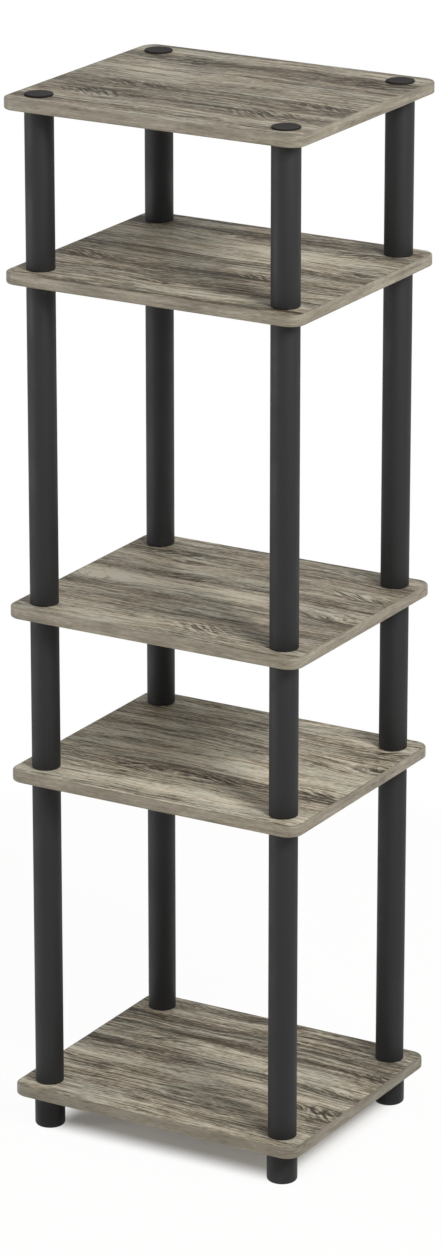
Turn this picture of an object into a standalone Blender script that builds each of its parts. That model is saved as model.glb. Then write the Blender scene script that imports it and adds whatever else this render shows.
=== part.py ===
# Square shelving tower: five rectangular boards on four columns of screwed plastic tubes.
# Metres, +Z up. The origin is on the floor, under the middle of the unit. Front is -Y, the long side lies along X.
import bpy
import bmesh
import math

# Boards
boardWidth = 0.340
boardDepth = 0.290
boardThickness = 0.012
boardCornerRadius = 0.0165
edgeBandThickness = 0.002
edgeBandRounding = 0.0018

# Columns
holeInset = 0.0296
tubeDiameter = 0.0296
tubeWall = 0.0018
tubeEndRounding = 0.0009
shortTubeLength = 0.1649
longTubeLength = 0.3384
tubeLengthsFromFloor = [longTubeLength, shortTubeLength, longTubeLength, shortTubeLength]

# Screwed joints: the studs stand for threaded ones, as plain cylinders of the thread's outer size
studDiameter = 0.016
studTipChamfer = 0.0012
threadEngagement = 0.015
socketSpareDepth = 0.003
plugDepth = 0.022
plugWall = 0.0022
plugFloor = 0.003

# Caps on the top board
capDiameter = 0.0292
capThickness = 0.0017
capRimHeight = 0.0009
capRimWidth = 0.0011

# Feet
footDiameter = 0.0318
footHeight = 0.0372
footRounding = 0.0032
footTopRounding = 0.0006

# Clearances
seatGap = 0.0003
pressGap = 0.0003
bandGap = 0.0003
threadClearance = 0.0003
boardHoleClearance = 0.0006

# Least flat left where a rounding would take the whole wall
leastFlat = 0.0002

# How far a cutter reaches past what it cuts
cutterOverrun = 0.010

# How far the undivided middle of each board face keeps from the tubes
middleMargin = 0.004

# Mesh fineness
roundSides = 24
studSides = 16
cornerSegments = 5
edgeSegments = 2
footArcSteps = 3

# Worked out from the above
bandRounding = min(edgeBandRounding, edgeBandThickness - leastFlat, boardThickness / 2 - leastFlat)
tubeRadius = tubeDiameter / 2
studRadius = studDiameter / 2
socketRadius = studRadius + threadClearance
boardHoleRadius = studRadius + boardHoleClearance
tubeBoreRadius = tubeRadius - tubeWall
tubeRim = min(tubeEndRounding, tubeWall - leastFlat)
plugRadius = tubeBoreRadius - pressGap
clampedThickness = boardThickness + 2 * seatGap
studLength = clampedThickness + threadEngagement
socketDepth = threadEngagement + socketSpareDepth
coreInset = edgeBandThickness + bandGap

columnX = boardWidth / 2 - holeInset
columnY = boardDepth / 2 - holeInset
columns = {
    "front_left": (-columnX, -columnY),
    "front_right": (columnX, -columnY),
    "back_right": (columnX, columnY),
    "back_left": (-columnX, columnY),
}
boardNames = ["bottom_board", "lower_board", "middle_board", "upper_board", "top_board"]

modelName = "shelving_tower"
cutterName = "shelving_tower_cutters"


def clearScene():
    for obj in list(bpy.data.objects):
        bpy.data.objects.remove(obj, do_unlink=True)


def newCollection(name):
    collection = bpy.data.collections.new(name)
    bpy.context.scene.collection.children.link(collection)
    return collection


def newMaterial(name, color, roughness):
    material = bpy.data.materials.new(name)
    material.use_nodes = True
    shader = material.node_tree.nodes["Principled BSDF"]
    shader.inputs["Base Color"].default_value = (*color, 1.0)
    shader.inputs["Roughness"].default_value = roughness
    shader.inputs["Metallic"].default_value = 0.0
    material.diffuse_color = (*color, 1.0)
    return material


def addObject(name, mesh, collection, material=None, location=(0, 0, 0)):
    obj = bpy.data.objects.new(name, mesh)
    obj.location = location
    collection.objects.link(obj)
    if material is not None and not mesh.materials:
        mesh.materials.append(material)
    return obj


def roundedSlabMesh(name, width, depth, height, radius):
    # a box whose four upright edges are rounded, standing on z = 0
    work = bmesh.new()
    bmesh.ops.create_cube(work, size=1.0)
    bmesh.ops.scale(work, vec=(width, depth, height), verts=work.verts)
    bmesh.ops.translate(work, vec=(0, 0, height / 2), verts=work.verts)
    upright = [e for e in work.edges if abs(e.verts[0].co.z - e.verts[1].co.z) > height / 2]
    bmesh.ops.bevel(work, geom=upright, offset=radius, segments=cornerSegments, profile=0.5, affect="EDGES")
    mesh = bpy.data.meshes.new(name)
    work.to_mesh(mesh)
    work.free()
    return mesh


def divideBesideColumns(mesh):
    # cut lines just inside the columns, so that the middle of each face is one plain rectangle
    middleX = columnX - tubeRadius - middleMargin
    middleY = columnY - tubeRadius - middleMargin
    work = bmesh.new()
    work.from_mesh(mesh)
    for side in (-1, 1):
        for place, normal in (((side * middleX, 0, 0), (1, 0, 0)), ((0, side * middleY, 0), (0, 1, 0))):
            everything = work.verts[:] + work.edges[:] + work.faces[:]
            bmesh.ops.bisect_plane(work, geom=everything, plane_co=place, plane_no=normal)
    work.to_mesh(mesh)
    work.free()


def addRimRounding(obj):
    bevel = obj.modifiers.new("rim_rounding", "BEVEL")
    bevel.width = bandRounding
    bevel.segments = edgeSegments
    bevel.limit_method = "ANGLE"
    bevel.angle_limit = math.radians(60)


def addCut(obj, cutter):
    cut = obj.modifiers.new("cut_" + cutter.name, "BOOLEAN")
    cut.operation = "DIFFERENCE"
    cut.solver = "EXACT"
    cut.object = cutter


def hideAsCutter(obj):
    obj.hide_render = True
    obj.display_type = "WIRE"


def turnedPiece(name, profile, sides, collection, material, location):
    # profile holds (radius, height) points in order; a profile that starts and ends on the axis closes there,
    # any other is closed on itself
    mesh = bpy.data.meshes.new(name)
    onAxis = profile[0][0] == 0
    count = len(profile)
    edges = [(i, i + 1) for i in range(count - 1)]
    if not onAxis:
        edges.append((count - 1, 0))
    mesh.from_pydata([(r, 0, z) for r, z in profile], edges, [])
    obj = addObject(name, mesh, collection, material, location)
    screw = obj.modifiers.new("turn", "SCREW")
    screw.axis = "Z"
    screw.steps = sides
    screw.render_steps = sides
    screw.use_merge_vertices = True
    screw.merge_threshold = 0.00005
    screw.use_smooth_shade = True
    return obj


def boardLevels():
    # underside height of each board, from the floor up
    levels = [footHeight + seatGap]
    for length in tubeLengthsFromFloor:
        levels.append(levels[-1] + clampedThickness + length)
    return levels


def makeDrills(collection, height):
    # one long drill for each column, so that the holes of all boards line up
    drills = []
    for corner, (x, y) in columns.items():
        work = bmesh.new()
        bmesh.ops.create_cone(
            work, cap_ends=True, segments=roundSides, radius1=boardHoleRadius, radius2=boardHoleRadius,
            depth=2 * height)
        mesh = bpy.data.meshes.new("drill_" + corner)
        work.to_mesh(mesh)
        work.free()
        drill = addObject("drill_" + corner, mesh, collection, location=(x, y, 0))
        hideAsCutter(drill)
        drills.append(drill)
    return drills


def makeBoards(levels, model, cutters, faceMaterial, bandMaterial):
    drills = makeDrills(cutters, levels[-1] + boardThickness + cutterOverrun)
    coreMesh = roundedSlabMesh(
        "board_core", boardWidth - 2 * coreInset, boardDepth - 2 * coreInset, boardThickness,
        boardCornerRadius - coreInset)
    divideBesideColumns(coreMesh)
    bandMesh = roundedSlabMesh("board_band", boardWidth, boardDepth, boardThickness, boardCornerRadius)
    hollowMesh = roundedSlabMesh(
        "band_hollow", boardWidth - 2 * edgeBandThickness, boardDepth - 2 * edgeBandThickness,
        boardThickness + 2 * cutterOverrun, boardCornerRadius - edgeBandThickness)
    for name, level in zip(boardNames, levels):
        board = addObject(name, coreMesh, model, faceMaterial, (0, 0, level))
        for drill in drills:
            addCut(board, drill)
        band = addObject(name + "_edge_band", bandMesh, model, bandMaterial, (0, 0, level))
        addRimRounding(band)
        hollow = addObject("hollow_" + name, hollowMesh, cutters, location=(0, 0, level - cutterOverrun))
        hideAsCutter(hollow)
        addCut(band, hollow)


def tubeProfile(length):
    # outer side from the top down, then the bore with the thick threaded collar at its upper end
    return [
        (socketRadius, length),
        (tubeRadius - tubeRim, length),
        (tubeRadius, length - tubeRim),
        (tubeRadius, tubeRim),
        (tubeRadius - tubeRim, 0),
        (tubeBoreRadius, 0),
        (tubeBoreRadius, length - socketDepth),
        (socketRadius, length - socketDepth),
    ]


def studProfile():
    # a cup pressed into the tube, with a stud that reaches down through the board into the next socket
    return [
        (0, plugFloor),
        (plugRadius - plugWall, plugFloor),
        (plugRadius - plugWall, plugDepth),
        (plugRadius, plugDepth),
        (plugRadius, 0),
        (studRadius, 0),
        (studRadius, -studLength + studTipChamfer),
        (studRadius - studTipChamfer, -studLength),
        (0, -studLength),
    ]


def capProfile():
    # flat head above the top board, and a stem into the top tube
    headRadius = capDiameter / 2
    stemEnd = -studLength
    return [
        (0, capThickness),
        (headRadius - capRimWidth, capThickness),
        (headRadius, capRimHeight),
        (headRadius, 0),
        (studRadius, 0),
        (studRadius, stemEnd + studTipChamfer),
        (studRadius - studTipChamfer, stemEnd),
        (0, stemEnd),
    ]


def footProfile():
    # blind socket in the top, rounded lower edge, flat underside
    radius = footDiameter / 2
    points = [
        (0, footHeight - socketDepth),
        (socketRadius, footHeight - socketDepth),
        (socketRadius, footHeight),
        (radius - footTopRounding, footHeight),
        (radius, footHeight - footTopRounding),
    ]
    for step in range(footArcSteps + 1):
        angle = math.pi / 2 * step / footArcSteps
        points.append((
            radius - footRounding + footRounding * math.cos(angle),
            footRounding - footRounding * math.sin(angle),
        ))
    points.append((0, 0))
    return points


def makeColumns(levels, model, tubeMaterial, studMaterial, capMaterial, footMaterial):
    for corner, (x, y) in columns.items():
        turnedPiece("foot_" + corner, footProfile(), roundSides, model, footMaterial, (x, y, 0))
        for index, length in enumerate(tubeLengthsFromFloor):
            number = str(index + 1)
            base = levels[index] + boardThickness + seatGap
            turnedPiece(
                "tube_" + corner + "_" + number, tubeProfile(length), roundSides, model, tubeMaterial, (x, y, base))
            turnedPiece(
                "stud_plug_" + corner + "_" + number, studProfile(), studSides, model, studMaterial, (x, y, base))
        capBase = levels[-1] + boardThickness + seatGap
        turnedPiece("cap_" + corner, capProfile(), roundSides, model, capMaterial, (x, y, capBase))


clearScene()
model = newCollection(modelName)
cutters = newCollection(cutterName)

faceMaterial = newMaterial("oak_laminate", (0.235, 0.205, 0.165), 0.6)
bandMaterial = newMaterial("oak_edge_band", (0.330, 0.300, 0.250), 0.55)
tubeMaterial = newMaterial("black_tube_plastic", (0.040, 0.040, 0.042), 0.45)
studMaterial = newMaterial("black_plug_plastic", (0.030, 0.030, 0.030), 0.5)
capMaterial = newMaterial("black_cap_plastic", (0.035, 0.034, 0.036), 0.4)
footMaterial = newMaterial("black_foot_plastic", (0.030, 0.030, 0.032), 0.45)

levels = boardLevels()
makeBoards(levels, model, cutters, faceMaterial, bandMaterial)
makeColumns(levels, model, tubeMaterial, studMaterial, capMaterial, footMaterial)
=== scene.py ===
import math

import bmesh
import bpy
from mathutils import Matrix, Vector


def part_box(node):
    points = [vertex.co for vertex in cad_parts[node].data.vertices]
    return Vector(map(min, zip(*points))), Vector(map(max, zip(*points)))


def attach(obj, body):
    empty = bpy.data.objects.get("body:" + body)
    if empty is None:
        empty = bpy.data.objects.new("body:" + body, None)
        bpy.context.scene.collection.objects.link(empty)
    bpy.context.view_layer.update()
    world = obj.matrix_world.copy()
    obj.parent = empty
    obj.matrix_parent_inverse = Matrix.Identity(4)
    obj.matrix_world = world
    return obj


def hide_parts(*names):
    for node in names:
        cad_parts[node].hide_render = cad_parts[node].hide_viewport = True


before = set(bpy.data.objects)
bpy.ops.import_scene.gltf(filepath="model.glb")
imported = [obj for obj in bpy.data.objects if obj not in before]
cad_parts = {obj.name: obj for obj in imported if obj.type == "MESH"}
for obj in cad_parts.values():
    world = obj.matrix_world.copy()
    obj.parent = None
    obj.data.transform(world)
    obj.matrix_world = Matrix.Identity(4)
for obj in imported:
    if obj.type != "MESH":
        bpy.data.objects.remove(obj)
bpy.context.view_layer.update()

print("frame loaded with", len(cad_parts), "CAD nodes")

perMetre = 1000     # millimetres: patterns are measured in them, everything else in metres


# small helpers

def linearColour(hexCode, brightness=1.0):
    # an sRGB hex value as the linear colour that a node wants, made paler or darker by a factor
    digits = hexCode.lstrip("#")
    channels = [int(digits[i:i + 2], 16) / 255 for i in (0, 2, 4)]
    linear = [c / 12.92 if c <= 0.04045 else ((c + 0.055) / 1.055) ** 2.4 for c in channels]
    return tuple(channel * brightness for channel in linear) + (1.0,)


def addNode(tree, kind, settings=None, inputs=None, stops=None):
    # settings fill the node's own fields; an input is a plain value, a socket, or a node whose
    # first output is meant; stops are those of a colour ramp
    node = tree.nodes.new(kind)
    for field, value in (settings or {}).items():
        setattr(node, field, value)
    for place, value in (inputs or {}).items():
        if isinstance(value, bpy.types.Node):
            value = value.outputs[0]
        if isinstance(value, bpy.types.NodeSocket):
            tree.links.new(value, node.inputs[place])
        else:
            node.inputs[place].default_value = value
    if stops:
        elements = node.color_ramp.elements
        while len(elements) < len(stops):
            elements.new(0.5)
        for element, (position, colour) in zip(elements, stops):
            element.position = position
            element.color = colour
    return node


def newMaterial(name):
    material = bpy.data.materials.new(name)
    material.use_nodes = True
    material.node_tree.nodes.clear()
    return material, material.node_tree


def finishMesh(work, name):
    mesh = bpy.data.meshes.new(name)
    work.to_mesh(mesh)
    work.free()
    return mesh


def newObject(name, data):
    thing = bpy.data.objects.new(name, data)
    bpy.context.scene.collection.objects.link(thing)
    return thing


def finishPiece(name, mesh, material, replacedNodes, sharpAngle):
    # edges that bend more than the sharp angle stay crisp, the rest is shaded smooth
    mesh.materials.append(material)
    mesh.shade_smooth()
    mesh.set_sharp_from_angle(angle=math.radians(sharpAngle))
    piece = newObject(name, mesh)
    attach(piece, "root")
    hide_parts(*replacedNodes)


# camera

photo = {
    "height": 1256,             # pixels
    "azimuth": 30.2,            # degrees to the right of the front
    "elevation": 18.7,
    "distance": 5.4,
    "focalPixels": 5258,
    "aim": (0.0, 0.0, 0.541),
    "sensor": 36.0,
    "clipStart": 0.1,
    "clipEnd": 60.0,
}


def makeCamera():
    azimuth = math.radians(photo["azimuth"])
    elevation = math.radians(photo["elevation"])
    back = Vector((
        math.sin(azimuth) * math.cos(elevation),
        -math.cos(azimuth) * math.cos(elevation),
        math.sin(elevation)))
    data = bpy.data.cameras.new("studio_camera")
    data.sensor_width = photo["sensor"]
    data.lens = photo["focalPixels"] / photo["height"] * photo["sensor"]
    data.clip_start = photo["clipStart"]
    data.clip_end = photo["clipEnd"]
    camera = newObject("studio_camera", data)
    camera.location = Vector(photo["aim"]) + back * photo["distance"]
    camera.rotation_euler = (-back).to_track_quat("-Z", "Y").to_euler()
    bpy.context.scene.camera = camera


makeCamera()
bpy.context.scene.view_settings.view_transform = "Standard"
print("camera ready")


# materials: boards

# Melamine-faced chipboard: a weathered grey-brown oak decor printed on paper, pressed matt with
# a faint texture. To the eye it is fine grain along the board, soft dark and pale bands, patches
# of dark rings round the eyes of the wood, torn flecks that lean across the grain, and no gloss.
oakPrint = {
    # the tone of the print from 0 to 1, and the ink there
    "inks": [(0.0, "#3a332a"), (0.30, "#696053"), (0.52, "#8e8576"), (0.72, "#a59d8c"),
             (1.0, "#c3bbab")],
    "cool": "#f7fbfb",          # a faint tint over the patches that weathered grey
    "warm": "#fffdf9",          # the rest leans to brown
    "tint": {"length": 90, "width": 26, "from": 0.4, "to": 0.62},
    # the grain lines swing sideways by up to so many millimetres, with a smaller wave on top
    "flow": {"length": 210, "width": 85, "swing": 10},
    "wave": {"length": 48, "width": 22, "swing": 2.4},
    # patterns along the lines: length and width in millimetres, and how strongly each one tones
    # the print; real fibres are about 0.3 mm wide and pores 0.2 mm, drawn coarser so that they show
    "broad": {"length": 230, "width": 24, "strength": 0.5},
    "streak": {"length": 110, "width": 4.2, "detail": 2, "roughness": 0.55, "strength": 1.1},
    "fibre": {"length": 26, "width": 1.7, "detail": 2, "roughness": 0.6, "strength": 1.05},
    "pore": {"length": 7, "width": 0.9, "strength": 0.7},
    # cross marks of the saw, about 1 mm apart on real boards, drawn coarser as well
    "saw": {"length": 2.2, "width": 26, "strength": 0.16},
    # growth rings are dark lines with one sharp and one soft side; they wander by their jitter
    "ringSpacing": 5.5,
    "ringSoftSide": 0.62,       # share of the spacing
    "ringStrength": 0.23,
    "ringJitter": {"length": 150, "width": 16.5, "detail": 2, "strength": 49.5},
    # they show in patches and round the eyes, and faintly elsewhere
    "ringPatch": {"length": 75, "width": 20, "from": 0.46, "to": 0.66, "elsewhere": 0.12},
    "ringsRoundEyes": 0.9,
    # strokes of a torn place, from the tone of the pale ones to that of the dark ones
    "stroke": {"length": 24, "width": 3.4, "detail": 2, "roughness": 0.6,
               "from": 0.36, "to": 0.64, "pale": 0.25, "dark": -0.75},
    "tornStrength": 0.9,
    "bandReach": 145,           # the bands' places go this far to either side of the middle
    "ior": 1.49,
    "gloss": 0.2,
    "roughness": {"from": 0.2, "to": 0.9, "dark": 0.68, "pale": 0.56},
    "embossDepth": 0.0006,
    "embossStrength": 0.3,
}

# Each board's own cut of the print, in millimetres from its middle: how far the print is shifted,
# how much paler it is painted as a whole (painted light, for how much light reaches each board
# between the boards above) and how strong it is, how pale its edge band is (darker on the bottom
# board as painted shade), its dark and pale bands from front to back (place, tone), with the lower
# board's front bands raised paler as painted light, the eyes that the grain flows round (x, y, half
# length, half width, swing) and the torn places (x, y, half length, half width, lean of their
# strokes in degrees).
boardPrints = {
    "bottom_board": {
        # painted shade makes this board's edge band darker than the others
        "shift": (310, -170), "paintedLightLift": 1.1, "contrast": 1.22, "bandToneAndShade": 0.735,
        "bands": [
            (-145, 0.12), (-124, 0.16), (-108, 0.1), (-80, -0.04), (-58, 0.1), (-47, -0.08),
            (-38, 0.04), (-24, 0.3), (-14, 0.16), (-6, -0.12), (6, -0.27), (16, 0.14), (34, 0.2),
            (46, 0.0), (57, -0.32), (66, -0.04), (74, 0.02), (88, -0.18), (112, 0.06),
            (145, 0.04)],
        "eyes": [(160, 0, 34, 12, 13), (150, -54, 38, 13, 15)],
        "torn": [(150, -54, 28, 12, -38), (156, 58, 26, 9, -28), (-90, 40, 34, 9, 25)]},
    "lower_board": {
        "shift": (930, 410), "paintedLightLift": 1.3, "contrast": 1.22, "bandToneAndShade": 0.875,
        # the bands at the front are raised paler as painted light, for the light that reaches in
        # under the middle board
        "bands": [
            (-145, 0.28), (-128, 0.28), (-111, 0.32), (-98, 0.12), (-80, 0.1), (-62, -0.06),
            (-49, -0.2), (-42, 0.16), (-32, 0.22), (-21, 0.42), (-6, 0.14), (8, 0.26),
            (24, 0.15), (40, 0.08), (48, -0.04), (56, 0.14), (70, 0.04), (90, -0.06),
            (112, 0.12), (145, 0.1)],
        "eyes": [(165, 30, 52, 18, 17), (-20, -72, 44, 10, 11)],
        "torn": [(-64, -66, 26, 8, 22), (30, -62, 30, 8, -24), (150, 94, 26, 9, 24),
                 (138, -46, 30, 8, -22)]},
    "middle_board": {
        "shift": (1570, 830), "paintedLightLift": 1.02, "contrast": 1.05, "bandToneAndShade": 0.9,
        "bands": [
            (-145, 0.16), (-130, 0.1), (-106, 0.16), (-84, 0.02), (-66, -0.02), (-52, 0.06),
            (-42, 0.1), (-32, -0.08), (-20, -0.02), (-11, 0.24), (6, 0.4), (14, 0.18),
            (24, -0.06), (34, -0.08), (46, 0.16), (62, 0.1), (78, 0.12), (98, -0.1),
            (120, 0.1), (145, 0.08)],
        "eyes": [(-140, -22, 42, 15, 15), (156, -22, 52, 16, 15), (-70, 66, 40, 10, 9)],
        "torn": [(-106, 96, 34, 10, 26), (40, -106, 32, 12, -35), (128, 62, 34, 10, -26),
                 (-60, 30, 30, 8, 24)]},
    "upper_board": {
        "shift": (2210, 1370), "paintedLightLift": 1.17, "contrast": 1.2, "bandToneAndShade": 0.885,
        "bands": [
            (-145, -0.05), (-138, -0.2), (-128, 0.1), (-112, 0.18), (-104, 0.0), (-94, -0.12),
            (-80, -0.02), (-60, 0.0), (-46, -0.16), (-36, 0.03), (-8, 0.06), (4, -0.12),
            (14, -0.1), (22, 0.16), (50, 0.2), (62, 0.34), (76, 0.2), (86, -0.02), (96, 0.04),
            (116, -0.26), (130, 0.02), (145, 0.0)],
        "eyes": [(152, 6, 48, 15, 14), (-20, -104, 44, 8, 7)],
        "torn": [(62, -34, 26, 8, -32), (-130, -38, 26, 10, -34), (108, 88, 36, 10, 24),
                 (-30, 96, 34, 9, 24)]},
    "top_board": {
        "shift": (40, 0), "paintedLightLift": 1.0, "contrast": 1.05, "bandToneAndShade": 0.865,
        "bands": [
            (-145, 0.05), (-135, 0.16), (-127, -0.13), (-119, -0.13), (-111, 0.22), (-94, 0.05),
            (-80, -0.04), (-71, -0.24), (-64, -0.02), (-52, -0.02), (-40, -0.16), (-26, -0.16),
            (-20, -0.22), (-15, -0.02), (-9, 0.1), (8, 0.07), (25, 0.1), (34, 0.26), (42, 0.28),
            (52, 0.02), (72, 0.0), (88, -0.1), (98, -0.32), (107, 0.0), (114, 0.2), (128, 0.18),
            (137, -0.02), (145, -0.06)],
        "eyes": [(-112, -52, 40, 12, 6), (100, -52, 40, 12, 6)],
        "torn": [(-103, -74, 34, 12, -40), (92, -74, 38, 12, -40), (-85, 92, 36, 14, 27),
                 (107, 92, 32, 14, 27), (128, -22, 32, 10, -35), (-80, -22, 30, 10, -35)]},
}


def grainPattern(tree, source, size):
    # soft noise from 0 to 1, drawn out along the grain to its length and width in millimetres
    squeezed = addNode(
        tree, "ShaderNodeVectorMath", {"operation": "MULTIPLY"},
        {0: source, 1: (1 / size["length"], 1 / size["width"], 0)})
    return addNode(
        tree, "ShaderNodeTexNoise", {"noise_dimensions": "2D"},
        {"Vector": squeezed, "Scale": 1.0, "Detail": size.get("detail", 1),
         "Roughness": size.get("roughness", 0.5)})


def oakMaterial(name, cut, look):
    material, tree = newMaterial(name)
    coords = addNode(tree, "ShaderNodeTexCoord")
    # millimetres on the board, x along the grain
    onBoard = addNode(
        tree, "ShaderNodeVectorMath", {"operation": "SCALE"},
        {0: coords.outputs["Object"], "Scale": perMetre})
    shifted = addNode(
        tree, "ShaderNodeVectorMath", {"operation": "ADD"}, {0: onBoard, 1: (*cut["shift"], 0)})

    def centred(pattern, strength):
        # a pattern from 0 to 1 as one that swings round 0 by its strength
        swinging = addNode(
            tree, "ShaderNodeMath", {"operation": "SUBTRACT"}, {0: pattern, 1: 0.5})
        return addNode(
            tree, "ShaderNodeMath", {"operation": "MULTIPLY"}, {0: swinging, 1: strength})

    def spot(x, y, halfLength, halfWidth):
        # 1 in the middle of an oval on the board, falling softly to 0 round it
        fromMiddle = addNode(
            tree, "ShaderNodeVectorMath", {"operation": "SUBTRACT"}, {0: onBoard, 1: (x, y, 0)})
        scaled = addNode(
            tree, "ShaderNodeVectorMath", {"operation": "MULTIPLY"},
            {0: fromMiddle, 1: (1 / halfLength, 1 / halfWidth, 0)})
        square = addNode(
            tree, "ShaderNodeVectorMath", {"operation": "DOT_PRODUCT"}, {0: scaled, 1: scaled})
        falling = addNode(
            tree, "ShaderNodeMath", {"operation": "MULTIPLY"}, {0: square.outputs["Value"], 1: -1})
        return addNode(tree, "ShaderNodeMath", {"operation": "EXPONENT"}, {0: falling})

    # the grain lines flow: the place across the board is bent before the grain is drawn
    flow = centred(grainPattern(tree, shifted, look["flow"]), look["flow"]["swing"] * 2)
    wave = centred(grainPattern(tree, shifted, look["wave"]), look["wave"]["swing"] * 2)
    flow = addNode(tree, "ShaderNodeMath", {"operation": "ADD"}, {0: flow, 1: wave})
    swing, eyes = flow, 0.0
    for x, y, halfLength, halfWidth, push in cut["eyes"]:
        eye = spot(x, y, halfLength, halfWidth)
        pushed = addNode(tree, "ShaderNodeMath", {"operation": "MULTIPLY"}, {0: eye, 1: push})
        swing = addNode(tree, "ShaderNodeMath", {"operation": "ADD"}, {0: swing, 1: pushed})
        eyes = addNode(tree, "ShaderNodeMath", {"operation": "MAXIMUM"}, {0: eye, 1: eyes})
    bend = addNode(tree, "ShaderNodeCombineXYZ", inputs={"Y": swing})
    bent = addNode(tree, "ShaderNodeVectorMath", {"operation": "ADD"}, {0: shifted, 1: bend})

    # the board's own bands, along the bent lines so that their edges wander
    reach = look["bandReach"]
    across = addNode(tree, "ShaderNodeSeparateXYZ", inputs={"Vector": onBoard}).outputs["Y"]
    across = addNode(tree, "ShaderNodeMath", {"operation": "ADD"}, {0: across, 1: flow})
    across = addNode(tree, "ShaderNodeMath", {"operation": "ADD"}, {0: across, 1: reach})
    across = addNode(tree, "ShaderNodeMath", {"operation": "DIVIDE"}, {0: across, 1: 2 * reach})
    bands = addNode(
        tree, "ShaderNodeValToRGB", inputs={"Fac": across},
        stops=[((y + reach) / (2 * reach), (0.5 + tone, 0.5 + tone, 0.5 + tone, 1.0))
               for y, tone in cut["bands"]])
    bands.color_ramp.interpolation = "EASE"

    lines = {part: grainPattern(tree, bent, look[part])
             for part in ("broad", "streak", "fibre", "pore")}
    grain = 0.0
    for part, pattern in lines.items():
        drawn = centred(pattern, look[part]["strength"])
        grain = addNode(tree, "ShaderNodeMath", {"operation": "ADD"}, {0: drawn, 1: grain})

    # each ring starts sharp and fades over its soft side
    jitter = centred(grainPattern(tree, bent, look["ringJitter"]), look["ringJitter"]["strength"])
    ring = addNode(tree, "ShaderNodeSeparateXYZ", inputs={"Vector": bent}).outputs["Y"]
    ring = addNode(tree, "ShaderNodeMath", {"operation": "ADD"}, {0: ring, 1: jitter})
    ring = addNode(
        tree, "ShaderNodeMath", {"operation": "DIVIDE"}, {0: ring, 1: look["ringSpacing"]})
    ring = addNode(tree, "ShaderNodeMath", {"operation": "FRACT"}, {0: ring})
    ring = addNode(
        tree, "ShaderNodeMapRange", {"interpolation_type": "SMOOTHSTEP"},
        {"Value": ring, "From Min": 0.0, "From Max": look["ringSoftSide"],
         "To Min": 1.0, "To Max": 0.0})
    patch = look["ringPatch"]
    ringPatch = addNode(
        tree, "ShaderNodeMapRange", {"interpolation_type": "SMOOTHSTEP"},
        {"Value": grainPattern(tree, bent, patch), "From Min": patch["from"],
         "From Max": patch["to"], "To Min": patch["elsewhere"], "To Max": 1.0})
    roundEyes = addNode(
        tree, "ShaderNodeMath", {"operation": "MULTIPLY"}, {0: eyes, 1: look["ringsRoundEyes"]})
    ringPatch = addNode(tree, "ShaderNodeMath", {"operation": "ADD"}, {0: ringPatch, 1: roundEyes})
    ring = addNode(tree, "ShaderNodeMath", {"operation": "MULTIPLY"}, {0: ring, 1: ringPatch})
    ring = addNode(
        tree, "ShaderNodeMath", {"operation": "MULTIPLY"}, {0: ring, 1: look["ringStrength"]})
    grain = addNode(tree, "ShaderNodeMath", {"operation": "SUBTRACT"}, {0: grain, 1: ring})
    grain = addNode(
        tree, "ShaderNodeMath", {"operation": "MULTIPLY"}, {0: grain, 1: cut["contrast"]})
    tone = addNode(tree, "ShaderNodeMath", {"operation": "ADD"}, {0: bands, 1: grain})

    # torn places: dark and pale strokes that lean across the grain
    stroke = look["stroke"]
    torn = 0.0
    for x, y, halfLength, halfWidth, lean in cut["torn"]:
        leaning = addNode(
            tree, "ShaderNodeMapping",
            inputs={"Vector": shifted, "Rotation": (0, 0, math.radians(-lean))})
        strokes = addNode(
            tree, "ShaderNodeMapRange", {"interpolation_type": "SMOOTHSTEP"},
            {"Value": grainPattern(tree, leaning, stroke), "From Min": stroke["from"],
             "From Max": stroke["to"], "To Min": stroke["pale"], "To Max": stroke["dark"]})
        strokes = addNode(
            tree, "ShaderNodeMath", {"operation": "MULTIPLY"},
            {0: strokes, 1: spot(x, y, halfLength, halfWidth)})
        strokes = addNode(
            tree, "ShaderNodeMath", {"operation": "MULTIPLY"},
            {0: strokes, 1: look["tornStrength"]})
        torn = addNode(tree, "ShaderNodeMath", {"operation": "ADD"}, {0: strokes, 1: torn})
    tone = addNode(tree, "ShaderNodeMath", {"operation": "ADD"}, {0: tone, 1: torn})
    saw = centred(grainPattern(tree, shifted, look["saw"]), look["saw"]["strength"])
    tone = addNode(tree, "ShaderNodeMath", {"operation": "ADD"}, {0: tone, 1: saw})

    ink = addNode(
        tree, "ShaderNodeValToRGB", inputs={"Fac": tone},
        stops=[(place, linearColour(colour)) for place, colour in look["inks"]])
    weathered = addNode(
        tree, "ShaderNodeMapRange", {"interpolation_type": "SMOOTHSTEP"},
        {"Value": grainPattern(tree, bent, look["tint"]),
         "From Min": look["tint"]["from"], "From Max": look["tint"]["to"]})
    # sockets of a colour mix: 0 share, 6 and 7 the two colours, output 2 the result
    # the board's lift makes this tint paler as painted light, for the light that reaches the board
    # between the boards above
    tint = addNode(
        tree, "ShaderNodeMix", {"data_type": "RGBA"},
        {0: weathered, 6: linearColour(look["warm"], cut["paintedLightLift"]),
         7: linearColour(look["cool"], cut["paintedLightLift"])})
    tintedWithPaintedLight = addNode(
        tree, "ShaderNodeMix", {"data_type": "RGBA", "blend_type": "MULTIPLY"},
        {0: 1.0, 6: ink, 7: tint.outputs[2]})

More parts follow.
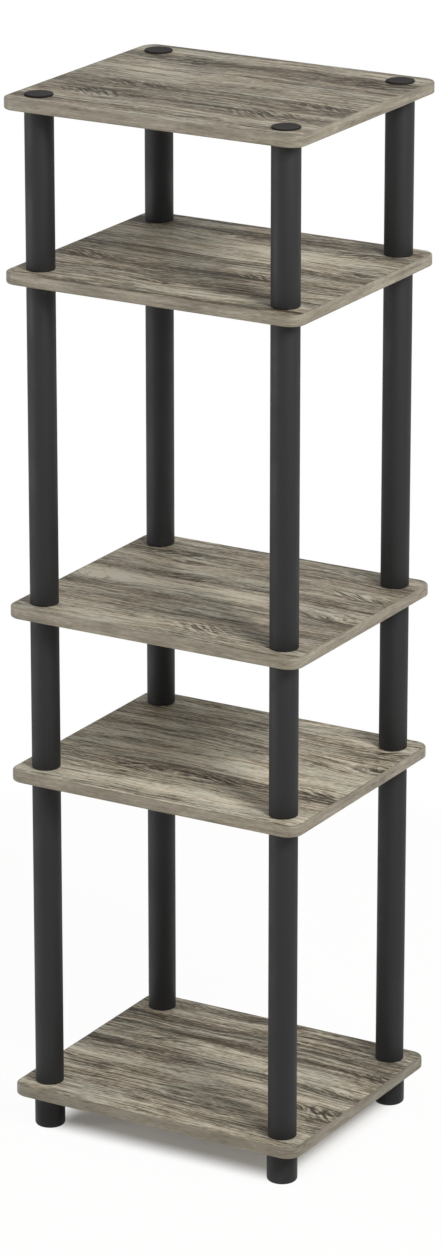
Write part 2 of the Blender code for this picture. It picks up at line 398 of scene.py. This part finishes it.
    # the pressed texture follows the fibres and the torn places
    height = addNode(
        tree, "ShaderNodeMath", {"operation": "ADD"}, {0: lines["fibre"], 1: lines["streak"]})
    height = addNode(tree, "ShaderNodeMath", {"operation": "ADD"}, {0: height, 1: torn})
    bump = addNode(
        tree, "ShaderNodeBump", inputs={
            "Strength": look["embossStrength"], "Distance": look["embossDepth"],
            "Height": height})
    rough = look["roughness"]
    roughness = addNode(
        tree, "ShaderNodeMapRange", {"interpolation_type": "SMOOTHSTEP"},
        {"Value": tone, "From Min": rough["from"], "From Max": rough["to"],
         "To Min": rough["dark"], "To Max": rough["pale"]})
    shader = addNode(
        tree, "ShaderNodeBsdfPrincipled", inputs={
            "Base Color": tintedWithPaintedLight.outputs[2], "Normal": bump, "Roughness": roughness,
            "IOR": look["ior"], "Specular IOR Level": look["gloss"]})
    addNode(tree, "ShaderNodeOutputMaterial", inputs={"Surface": shader})
    return material


# ABS edge banding, extruded and printed with a plainer run of the same oak, glued on and rounded
# over. To the eye it is a lighter, quieter strip with fine lines along the edge and a soft satin
# roll at the rim.
edgeBandPrint = {
    "inks": [(0.45, "#655d50"), (0.68, "#807868"), (0.88, "#8e8676"), (1.0, "#9d9584")],
    "toneStart": -0.2,          # tone before the patterns add to it
    "streak": {"length": 85, "width": 3.0, "detail": 3, "roughness": 0.55, "strength": 0.5},
    "patch": {"length": 55, "width": 9, "detail": 2, "roughness": 0.5, "strength": 0.7},
    # coarser than the real print so that it shows
    "fibre": {"length": 11, "width": 1.3, "detail": 2, "roughness": 0.6, "strength": 0.75},
    "ior": 1.53,
    "roughness": {"from": 0.35, "to": 0.65, "dark": 0.53, "pale": 0.45},
    "embossDepth": 0.0003,
    "embossStrength": 0.25,
}


def edgeBandMaterial(name, cut, look):
    material, tree = newMaterial(name)
    # the UV map runs along the edge in x and round the band in y, both in metres
    coords = addNode(tree, "ShaderNodeUVMap", {"uv_map": "alongEdge"})
    placed = addNode(
        tree, "ShaderNodeMapping", inputs={
            "Vector": coords, "Location": (*cut["shift"], 0), "Scale": (perMetre, perMetre, 1)})
    lines = {part: grainPattern(tree, placed, look[part]) for part in ("streak", "patch", "fibre")}
    tone = look["toneStart"]
    for part, pattern in lines.items():
        tone = addNode(
            tree, "ShaderNodeMath", {"operation": "MULTIPLY_ADD"},
            {0: pattern, 1: look[part]["strength"], 2: tone})
    # the band's ink is scaled by the board's band tone, which is its own paleness and, on the
    # bottom board, painted shade
    ink = addNode(
        tree, "ShaderNodeValToRGB", inputs={"Fac": tone},
        stops=[(place, linearColour(colour, cut["bandToneAndShade"])) for place, colour in look["inks"]])
    bump = addNode(
        tree, "ShaderNodeBump", inputs={
            "Strength": look["embossStrength"], "Distance": look["embossDepth"],
            "Height": lines["streak"]})
    rough = look["roughness"]
    roughness = addNode(
        tree, "ShaderNodeMapRange", inputs={
            "Value": lines["patch"], "From Min": rough["from"], "From Max": rough["to"],
            "To Min": rough["dark"], "To Max": rough["pale"]})
    shader = addNode(
        tree, "ShaderNodeBsdfPrincipled", inputs={
            "Base Color": ink, "Normal": bump, "Roughness": roughness, "IOR": look["ior"]})
    addNode(tree, "ShaderNodeOutputMaterial", inputs={"Surface": shader})
    return material


# materials: plastics

# Rigid PVC tube, dyed black and extruded with a satin skin: nearly black in itself, charcoal where
# it mirrors the light room and darker where it mirrors a board, with hair-thin draw lines along it.
tubePlastic = {
    "colour": "#0f0f10", "shade": "#0c0c0d", "worn": "#141415",
    "ior": 1.52, "roughness": 0.62, "gloss": 0.41,
    "grainLength": 160, "grainWidth": 1.6, "grainDepth": 0.00012,
}
# Polypropylene, injection moulded in a spark-eroded mould: near black with a fine even grain,
# dry on the caps and a little smoother on the feet.
capPlastic = {
    "colour": "#262423", "shade": "#1f1e1d", "worn": "#302e2d",
    "ior": 1.49, "roughness": 0.55, "gloss": 0.04,
    "grainLength": 0.9, "grainWidth": 0.9, "grainDepth": 0.00008,
}
footPlastic = {
    "colour": "#29292a", "shade": "#222223", "worn": "#333334",
    "ior": 1.49, "roughness": 0.46, "gloss": 0.14,
    "grainLength": 1.1, "grainWidth": 1.1, "grainDepth": 0.0001,
}
# Glass-filled nylon of the hidden stud plugs, moulded and left plain: black, dry and slightly
# mottled.
plugPlastic = {
    "colour": "#232323", "shade": "#1b1b1b", "worn": "#2e2e2e",
    "ior": 1.53, "roughness": 0.55, "gloss": 0.2,
    "grainLength": 1.4, "grainWidth": 1.4, "grainDepth": 0.0001,
}
# What all of them share: the grain, and an uneven sheen as cooling and handling leave it.
plasticSkin = {
    "grain": {"Scale": 1.0, "Detail": 3.0, "Roughness": 0.55},
    "grainShare": 0.5,          # how much the grain tones the colour, beside the blotches
    "grainStrength": 0.2,
    "blotchSize": 38,           # millimetres
    "blotch": {"Detail": 2.0, "Roughness": 0.5},
    "blotchFrom": 0.35,         # between these values of the blotches the roughness goes
    "blotchTo": 0.65,           # from so much smoother to so much rougher than its own value
    "smoother": 0.04,
    "rougher": 0.06,
    "shadeTone": 0.50,
    "plainTone": 0.75,
    "wornTone": 1.0,
}


def plasticMaterial(name, look, skin):
    material, tree = newMaterial(name)
    coords = addNode(tree, "ShaderNodeTexCoord").outputs["Object"]
    # the moulding grain is finer than this on the real plastic; drawn coarser so that it shows
    across, along = perMetre / look["grainWidth"], perMetre / look["grainLength"]
    placed = addNode(
        tree, "ShaderNodeMapping", inputs={"Vector": coords, "Scale": (across, across, along)})
    grain = addNode(tree, "ShaderNodeTexNoise", inputs={"Vector": placed, **skin["grain"]})
    blotch = addNode(
        tree, "ShaderNodeTexNoise",
        inputs={"Vector": coords, "Scale": perMetre / skin["blotchSize"], **skin["blotch"]})
    tone = addNode(
        tree, "ShaderNodeMath", {"operation": "MULTIPLY_ADD"},
        {0: grain, 1: skin["grainShare"], 2: blotch})
    colour = addNode(
        tree, "ShaderNodeValToRGB", inputs={"Fac": tone},
        stops=[(skin["shadeTone"], linearColour(look["shade"])),
               (skin["plainTone"], linearColour(look["colour"])),
               (skin["wornTone"], linearColour(look["worn"]))])
    roughness = addNode(
        tree, "ShaderNodeMapRange", inputs={
            "Value": blotch, "From Min": skin["blotchFrom"], "From Max": skin["blotchTo"],
            "To Min": look["roughness"] - skin["smoother"],
            "To Max": look["roughness"] + skin["rougher"]})
    bump = addNode(
        tree, "ShaderNodeBump", inputs={
            "Strength": skin["grainStrength"], "Distance": look["grainDepth"], "Height": grain})
    shader = addNode(
        tree, "ShaderNodeBsdfPrincipled", inputs={
            "Base Color": colour, "Normal": bump, "Roughness": roughness,
            "IOR": look["ior"], "Specular IOR Level": look["gloss"]})
    addNode(tree, "ShaderNodeOutputMaterial", inputs={"Surface": shader})
    return material


boardMaterials = {name: oakMaterial("oak_decor_melamine_" + name, cut, oakPrint)
                  for name, cut in boardPrints.items()}
edgeBandMaterials = {name: edgeBandMaterial("oak_decor_abs_band_" + name, cut, edgeBandPrint)
                  for name, cut in boardPrints.items()}
tubeMaterial = plasticMaterial("extruded_pvc_charcoal", tubePlastic, plasticSkin)
capMaterial = plasticMaterial("moulded_polypropylene_cap", capPlastic, plasticSkin)
footMaterial = plasticMaterial("moulded_polypropylene_foot", footPlastic, plasticSkin)
plugMaterial = plasticMaterial("glass_filled_nylon_plug", plugPlastic, plasticSkin)
print("materials ready")


# boards

board = {
    "width": 0.340,
    "depth": 0.290,
    "thickness": 0.012,
    "cornerRadius": 0.0165,
    "bandThickness": 0.002,
    "bandRounding": 0.0018,
    "holeInset": 0.0296,
    "holeRadius": 0.0086,
    "seam": 0.00004,            # hair line between board and band
    "cornerSteps": 14,
    "roundingSteps": 6,
    "holeSides": 48,
    "sharpAngle": 40,           # degrees
    "bandSharpAngle": 60,
}
columnX = board["width"] / 2 - board["holeInset"]
columnY = board["depth"] / 2 - board["holeInset"]
columns = {
    "front_left": (-columnX, -columnY),
    "front_right": (columnX, -columnY),
    "back_right": (columnX, columnY),
    "back_left": (-columnX, columnY),
}


def rimPath(width, depth, radius, steps):
    # points round a rectangle with rounded corners, counter-clockwise: place, outward direction
    # and length so far
    points = []
    for cornerX, cornerY, start in ((1, 1, 0), (-1, 1, 90), (-1, -1, 180), (1, -1, 270)):
        centre = Vector((cornerX * (width / 2 - radius), cornerY * (depth / 2 - radius), 0))
        for step in range(steps + 1):
            angle = math.radians(start + 90 * step / steps)
            normal = Vector((math.cos(angle), math.sin(angle), 0))
            points.append([centre + normal * radius, normal, 0.0])
    for previous, point in zip(points, points[1:]):
        point[2] = previous[2] + (point[0] - previous[0]).length
    return points


def boardMesh(name, level):
    # a sheet with its four holes is filled at the top and pulled down to the board's underside
    inset = board["bandThickness"] + board["seam"]
    outer = rimPath(
        board["width"] - 2 * inset, board["depth"] - 2 * inset,
        board["cornerRadius"] - inset, board["cornerSteps"])
    work = bmesh.new()
    edges = []

    def ring(places):
        verts = [work.verts.new((x, y, level + board["thickness"])) for x, y in places]
        edges.extend(work.edges.new((a, b)) for a, b in zip(verts, verts[1:] + verts[:1]))

    ring([(place.x, place.y) for place, _, _ in outer])
    sides, radius = board["holeSides"], board["holeRadius"]
    for x, y in columns.values():
        ring([(x + radius * math.cos(math.tau * k / sides),
               y + radius * math.sin(math.tau * k / sides)) for k in range(sides)])
    bmesh.ops.triangle_fill(work, use_beauty=True, use_dissolve=False, edges=edges)
    result = bmesh.ops.extrude_face_region(work, geom=work.faces[:])
    moved = [part for part in result["geom"] if isinstance(part, bmesh.types.BMVert)]
    bmesh.ops.translate(work, vec=(0, 0, -board["thickness"]), verts=moved)
    bmesh.ops.recalc_face_normals(work, faces=work.faces[:])
    return finishMesh(work, name)


def edgeBandSection():
    # the band's section: how far in from its outer face, and height above its lower rim
    radius, thick, tall = board["bandRounding"], board["bandThickness"], board["thickness"]
    lower = []
    for step in range(board["roundingSteps"] + 1):
        angle = math.pi / 2 * step / board["roundingSteps"]
        lower.append((radius - radius * math.sin(angle), radius - radius * math.cos(angle)))
    upper = [(inward, tall - height) for inward, height in reversed(lower)]
    return [(thick, 0.0)] + lower + upper + [(thick, tall)]


def edgeBandMesh(name, level):
    # the section runs once round the board, with its UV map along and round the band
    path = rimPath(board["width"], board["depth"], board["cornerRadius"], board["cornerSteps"])
    section = edgeBandSection()
    work = bmesh.new()
    uvLayer = work.loops.layers.uv.new("alongEdge")
    rows = [[work.verts.new(place - normal * inward + Vector((0, 0, level + height)))
             for inward, height in section] for place, normal, _ in path]
    along = [length for _, _, length in path]
    along.append(along[-1] + (path[0][0] - path[-1][0]).length)
    around = [0.0]
    for (a0, b0), (a1, b1) in zip(section, section[1:] + section[:1]):
        around.append(around[-1] + math.hypot(a1 - a0, b1 - b0))
    for i in range(len(path)):
        j = (i + 1) % len(path)
        for k in range(len(section)):
            m = (k + 1) % len(section)
            face = work.faces.new((rows[i][k], rows[j][k], rows[j][m], rows[i][m]))
            places = ((along[i], around[k]), (along[i + 1], around[k]),
                      (along[i + 1], around[k + 1]), (along[i], around[k + 1]))
            for loop, uv in zip(face.loops, places):
                loop[uvLayer].uv = uv
    bmesh.ops.recalc_face_normals(work, faces=work.faces[:])
    return finishMesh(work, name)


for name in boardPrints:
    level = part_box(name)[0].z
    oakName = name + "_oak"
    finishPiece(
        oakName, boardMesh(oakName, level), boardMaterials[name], [name],
        board["sharpAngle"])
    bandName = name + "_edge_band"
    roundedName = bandName + "_rounded"
    finishPiece(
        roundedName, edgeBandMesh(roundedName, level), edgeBandMaterials[name],
        [bandName], board["bandSharpAngle"])
print("boards ready")


# columns

tube = {
    "radius": 0.0148,
    "wall": 0.0018,
    "endRounding": 0.0009,
    "socketRadius": 0.0083,
    "socketDepth": 0.018,
    "sides": 96,
    "roundingSteps": 4,
    "sharpAngle": 40,
    "perColumn": 4,
}
cap = {
    "radius": 0.0146,
    "thickness": 0.0017,
    "rimWidth": 0.0011,
    "rimHeight": 0.0009,
    "skirtChamfer": 0.0002,
    "stemRadius": 0.008,
    "stemLength": 0.0276,
    "stemChamfer": 0.0012,
    "dishDepth": 0.00012,       # the flat top sinks a hair towards the middle, as moulded discs do
    "dishHalfway": 0.8,         # share of that depth halfway out
    "dishEdge": 2.2,            # where the dish ends, in rim widths from the outside
    "dishEdgeDepth": 0.00002,
    "sides": 96,
    "roundingSteps": 5,
    "sharpAngle": 40,
}
foot = {
    "radius": 0.0159,
    "height": 0.0372,
    "rounding": 0.0032,
    "topRounding": 0.0006,
    "socketRadius": 0.0083,
    "socketDepth": 0.018,
    "sides": 96,
    "roundingSteps": 8,
    "topRoundingSteps": 3,
    "sharpAngle": 40,
}


def arc(centre, radius, start, end, steps):
    # points of a circle's arc in the plane of radius and height, angles in degrees
    angles = [math.radians(start + (end - start) * k / steps) for k in range(steps + 1)]
    return [(centre[0] + radius * math.cos(a), centre[1] + radius * math.sin(a)) for a in angles]


def turnedMesh(name, profile, sides, place):
    # a profile of radius and height turned about its upright axis; it is closed either by its own
    # first point or by the axis, where each point becomes one vertex
    onAxis = 1e-7       # metres
    work = bmesh.new()
    rings = []
    for radius, height in profile:
        if radius < onAxis:
            rings.append([work.verts.new((0, 0, height))])
        else:
            rings.append([work.verts.new((radius * math.cos(math.tau * k / sides),
                                          radius * math.sin(math.tau * k / sides), height))
                          for k in range(sides)])
    pairs = list(zip(rings, rings[1:]))
    if profile[0][0] > onAxis:
        pairs.append((rings[-1], rings[0]))
    for first, second in pairs:
        for k in range(sides):
            n = (k + 1) % sides
            if len(first) == 1:
                work.faces.new((first[0], second[k], second[n]))
            elif len(second) == 1:
                work.faces.new((first[k], first[n], second[0]))
            else:
                work.faces.new((first[k], first[n], second[n], second[k]))
    bmesh.ops.translate(work, vec=place, verts=work.verts)
    bmesh.ops.recalc_face_normals(work, faces=work.faces[:])
    return finishMesh(work, name)


def tubeProfile(length):
    r, e, s = tube["radius"], tube["endRounding"], tube["roundingSteps"]
    bore, socket, socketEnd = r - tube["wall"], tube["socketRadius"], length - tube["socketDepth"]
    return (
        [(socket, length)]
        + arc((r - e, length - e), e, 90, 0, s)
        + arc((r - e, e), e, 0, -90, s)
        + [(bore, 0), (bore, socketEnd), (socket, socketEnd)])


def capProfile():
    r, h, s = cap["radius"], cap["thickness"], cap["roundingSteps"]
    across, down = cap["rimWidth"], h - cap["rimHeight"]
    dish = [(0, h - cap["dishDepth"]), (r * 0.5, h - cap["dishDepth"] * cap["dishHalfway"]),
            (r - across * cap["dishEdge"], h - cap["dishEdgeDepth"])]
    angles = [math.pi / 2 * k / s for k in range(s + 1)]
    rim = [(r - across + across * math.sin(a), h - down + down * math.cos(a)) for a in angles]
    skirt = [(r, cap["skirtChamfer"]), (r - cap["skirtChamfer"], 0)]
    stem, stemEnd, chamfer = cap["stemRadius"], -cap["stemLength"], cap["stemChamfer"]
    return (
        dish + rim + skirt
        + [(stem, 0), (stem, stemEnd + chamfer), (stem - chamfer, stemEnd), (0, stemEnd)])


def footProfile():
    r, h, e, t = foot["radius"], foot["height"], foot["rounding"], foot["topRounding"]
    socket, socketEnd = foot["socketRadius"], h - foot["socketDepth"]
    return (
        [(0, socketEnd), (socket, socketEnd), (socket, h)]
        + arc((r - t, h - t), t, 90, 0, foot["topRoundingSteps"])
        + arc((r - e, e), e, 0, -90, foot["roundingSteps"])
        + [(0, 0)])


for corner, (x, y) in columns.items():
    footName = "foot_" + corner
    turnedName = footName + "_turned"
    finishPiece(
        turnedName, turnedMesh(turnedName, footProfile(), foot["sides"], (x, y, 0)),
        footMaterial, [footName], foot["sharpAngle"])
    for number in range(1, tube["perColumn"] + 1):
        tubeName = "tube_" + corner + "_" + str(number)
        drawnName = tubeName + "_drawn"
        low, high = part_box(tubeName)
        finishPiece(
            drawnName,
            turnedMesh(drawnName, tubeProfile(high.z - low.z), tube["sides"], (x, y, low.z)),
            tubeMaterial, [tubeName], tube["sharpAngle"])
        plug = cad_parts["stud_plug_" + corner + "_" + str(number)]
        for materialSlot in plug.material_slots:
            materialSlot.material = plugMaterial
    capName = "cap_" + corner
    dishedName = capName + "_dished"
    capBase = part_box(capName)[1].z - cap["thickness"]
    finishPiece(
        dishedName, turnedMesh(dishedName, capProfile(), cap["sides"], (x, y, capBase)),
        capMaterial, [capName], cap["sharpAngle"])
print("columns ready")


# studio

studio = {
    "floorSize": 14.0,
    "floorSquares": 8,
    # the floor's paint, tinted warm as painted bounce light so that the shadow under the unit shows
    # warm
    "floorPaintAndWarmShade": "#f4f0e6",
    "floorWhite": 0.11,         # share of plain white in the floor that the camera sees, the rest
    "floorWhiteOutside": 0.96,  # is lit paint
    "shadeInset": 0.05,         # metres inside the boards' outline where that share starts to rise
    "shadeWidth": 0.042,
    "fadeEnd": 0.9,             # metres from there to where the floor is all plain white
    "worldColour": "#ffffff",
    "worldStrength": 0.35,
    "backdropColour": "#ffffff",
    "backdropStrength": 1.0,
    "keyPlace": (2.19, -1.16, 2.55), "keySize": (0.9, 0.9), "keyPower": 79,
    # low, because upright tubes seen from above mirror what is below the camera
    "leftPlace": (-2.38, -1.99, 0.6), "leftSize": (0.7, 1.1), "leftPower": 25,
    "rightPlace": (2.68, 0.72, 2.14), "rightSize": (1.0, 1.8), "rightPower": 9,
}


def makeFloor():
    work = bmesh.new()
    squares = studio["floorSquares"]
    bmesh.ops.create_grid(
        work, x_segments=squares, y_segments=squares, size=studio["floorSize"] / 2)
    mesh = finishMesh(work, "studio_floor")
    floor = newObject("studio_floor", mesh)
    material, tree = newMaterial("painted_studio_floor")
    # the paint's warm tint is painted bounce light for the shadow under the unit
    paint = addNode(
        tree, "ShaderNodeBsdfDiffuse", inputs={"Color": linearColour(studio["floorPaintAndWarmShade"])})
    white = addNode(
        tree, "ShaderNodeEmission", inputs={
            "Color": linearColour(studio["backdropColour"]),
            "Strength": studio["backdropStrength"]})
    rays = addNode(tree, "ShaderNodeLightPath")
    seen = addNode(
        tree, "ShaderNodeMath", {"operation": "MAXIMUM"},
        {0: rays.outputs["Is Camera Ray"], 1: rays.outputs["Is Glossy Ray"]})
    # the floor turns to plain white away from the object, so that no horizon shows
    coords = addNode(tree, "ShaderNodeTexCoord")
    fromMiddle = addNode(
        tree, "ShaderNodeVectorMath", {"operation": "ABSOLUTE"}, {0: coords.outputs["Object"]})
    inset = studio["shadeInset"]
    outline = (board["width"] / 2 - inset, board["depth"] / 2 - inset, 0)
    outside = addNode(
        tree, "ShaderNodeVectorMath", {"operation": "SUBTRACT"}, {0: fromMiddle, 1: outline})
    kept = addNode(
        tree, "ShaderNodeVectorMath", {"operation": "MAXIMUM"}, {0: outside, 1: (0, 0, 0)})
    away = addNode(
        tree, "ShaderNodeVectorMath", {"operation": "LENGTH"}, {0: kept}).outputs["Value"]
    near = addNode(
        tree, "ShaderNodeMapRange", {"interpolation_type": "SMOOTHSTEP"},
        {"Value": away, "From Min": 0.0, "From Max": studio["shadeWidth"],
         "To Min": studio["floorWhite"], "To Max": studio["floorWhiteOutside"]})
    far = addNode(
        tree, "ShaderNodeMapRange", {"interpolation_type": "SMOOTHSTEP"},
        {"Value": away, "From Min": studio["shadeWidth"], "From Max": studio["fadeEnd"]})
    fading = addNode(tree, "ShaderNodeMath", {"operation": "MAXIMUM"}, {0: near, 1: far})
    share = addNode(tree, "ShaderNodeMath", {"operation": "MULTIPLY"}, {0: seen, 1: fading})
    mixed = addNode(tree, "ShaderNodeMixShader", inputs={0: share, 1: paint, 2: white})
    addNode(tree, "ShaderNodeOutputMaterial", inputs={"Surface": mixed})
    mesh.materials.append(material)


def makeWorld():
    # plain white where the camera and the gloss see it, a dimmer sky for the light on the object
    world = bpy.data.worlds.new("studio_world")
    world.use_nodes = True
    tree = world.node_tree
    tree.nodes.clear()
    light = addNode(
        tree, "ShaderNodeBackground", inputs={
            "Color": linearColour(studio["worldColour"]), "Strength": studio["worldStrength"]})
    white = addNode(
        tree, "ShaderNodeBackground", inputs={
            "Color": linearColour(studio["backdropColour"]),
            "Strength": studio["backdropStrength"]})
    rays = addNode(tree, "ShaderNodeLightPath")
    seen = addNode(
        tree, "ShaderNodeMath", {"operation": "MAXIMUM"},
        {0: rays.outputs["Is Camera Ray"], 1: rays.outputs["Is Glossy Ray"]})
    seen = addNode(
        tree, "ShaderNodeMath", {"operation": "MAXIMUM"},
        {0: seen, 1: rays.outputs["Is Transmission Ray"]})
    mixed = addNode(tree, "ShaderNodeMixShader", inputs={0: seen, 1: light, 2: white})
    addNode(tree, "ShaderNodeOutputWorld", inputs={"Surface": mixed})
    bpy.context.scene.world = world


def makeLamp(name):
    # a soft box that faces the middle of the unit
    place = Vector(studio[name + "Place"])
    data = bpy.data.lights.new(name + "_lamp", "AREA")
    data.shape = "RECTANGLE"
    data.size, data.size_y = studio[name + "Size"]
    data.energy = studio[name + "Power"]
    lamp = newObject(name + "_lamp", data)
    lamp.location = place
    lamp.rotation_euler = (Vector(photo["aim"]) - place).to_track_quat("-Z", "Y").to_euler()


makeFloor()
makeWorld()
for lampName in ("key", "left", "right"):
    makeLamp(lampName)
print("studio ready")
